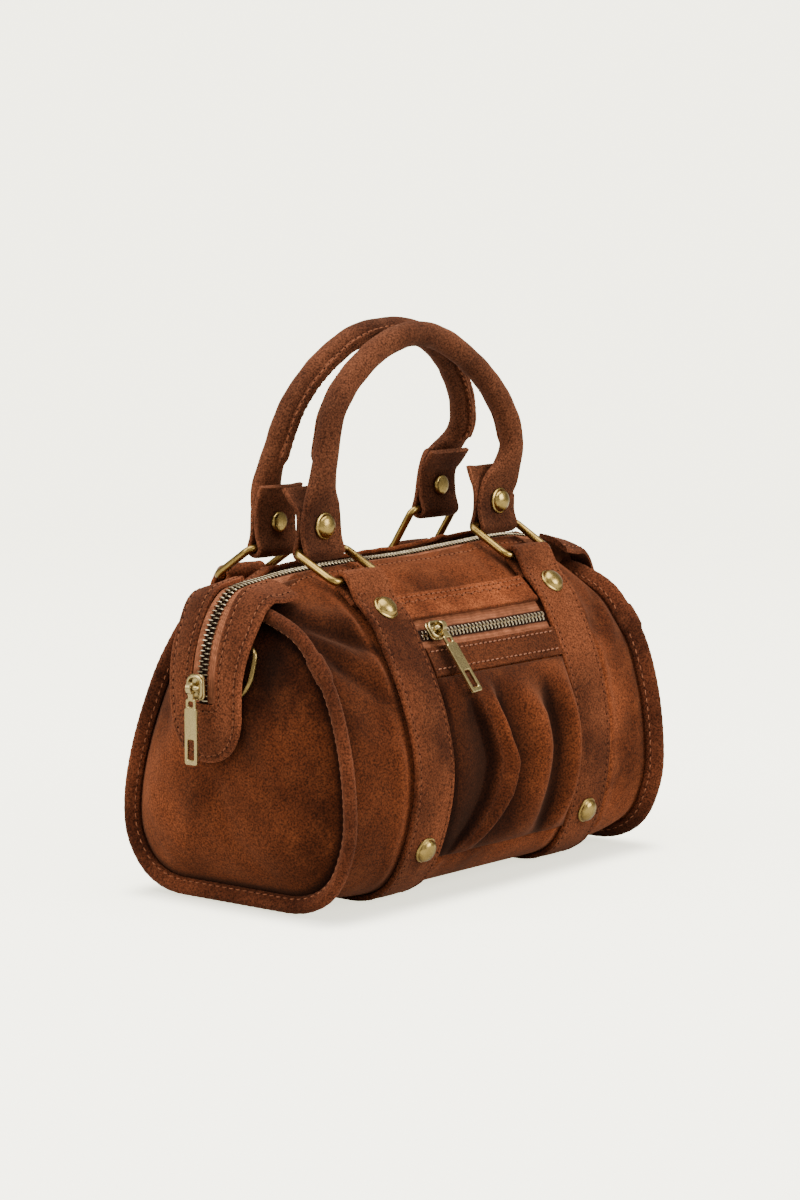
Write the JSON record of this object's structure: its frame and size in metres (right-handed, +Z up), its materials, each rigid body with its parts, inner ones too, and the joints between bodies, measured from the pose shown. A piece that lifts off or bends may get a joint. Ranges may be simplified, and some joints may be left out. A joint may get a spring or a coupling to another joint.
{
  "type": "bowling handbag",
  "caption": "Small barrel-shaped suede handbag with rolled handles on rectangular rings, straps under the base, a pleated zip pocket and a zip over the top and ends.",
  "frame": {"origin": "under the middle of the whole bag's box, on the floor it stands on", "axes": "+X along the zip to the bag's right end, +Y to the back, the pocket facing -Y, +Z up"},
  "size_m": [0.2739, 0.1462, 0.2511],
  "materials": {
    "suede": "rust-brown suede with a soft nap",
    "tape": "brown woven zip tape",
    "brass": "antique brass, softly polished"
  },
  "bodies": {
    "bag": {"body_panel": "suede", "end_panel_left": "suede", "end_panel_right": "suede", "binding_left": "suede", "binding_right": "suede", "zip_tape": "tape", "zip_chain": "brass", "zip_tab_left": "suede", "zip_tab_right": "suede", "zip_slider": "brass", "strap_left": "suede", "strap_right": "suede", "ring_front_left": "brass", "ring_front_right": "brass", "ring_back_left": "brass", "ring_back_right": "brass", "handle_front": "suede", "handle_back": "suede", "rivet_handle_front_left": "brass", "rivet_handle_front_right": "brass", "rivet_handle_back_left": "brass", "rivet_handle_back_right": "brass", "rivet_strap_upper_front_left": "brass", "rivet_strap_lower_front_left": "brass", "rivet_strap_upper_back_left": "brass", "rivet_strap_lower_back_left": "brass", "rivet_strap_upper_front_right": "brass", "rivet_strap_lower_front_right": "brass", "rivet_strap_upper_back_right": "brass", "rivet_strap_lower_back_right": "brass", "end_ring_left": "brass", "end_ring_right": "brass", "end_keeper_left": "suede", "end_keeper_right": "suede", "pocket_facing": "suede", "pocket_band": "suede", "pocket_tape": "tape", "pocket_chain": "brass", "pocket_pouch": "suede", "pocket_slider": "brass"},
    "zip_pull": {"zip_pull": "brass"},
    "pocket_pull": {"pocket_pull": "brass"}
  },
  "joints": [
    {"name": "zip_pull_swing", "type": "hinge", "parent": "bag", "child": "zip_pull", "pos_m": [-0.13441, 0.0052, 0.09798], "axis": [0, 1, 0], "range_deg": [0, 150]},
    {"name": "pocket_pull_swing", "type": "hinge", "parent": "bag", "child": "pocket_pull", "pos_m": [-0.03235, -0.04844, 0.11863], "axis": [-0.9962, -0.0582, -0.0652], "range_deg": [0, 150]}
  ]
}
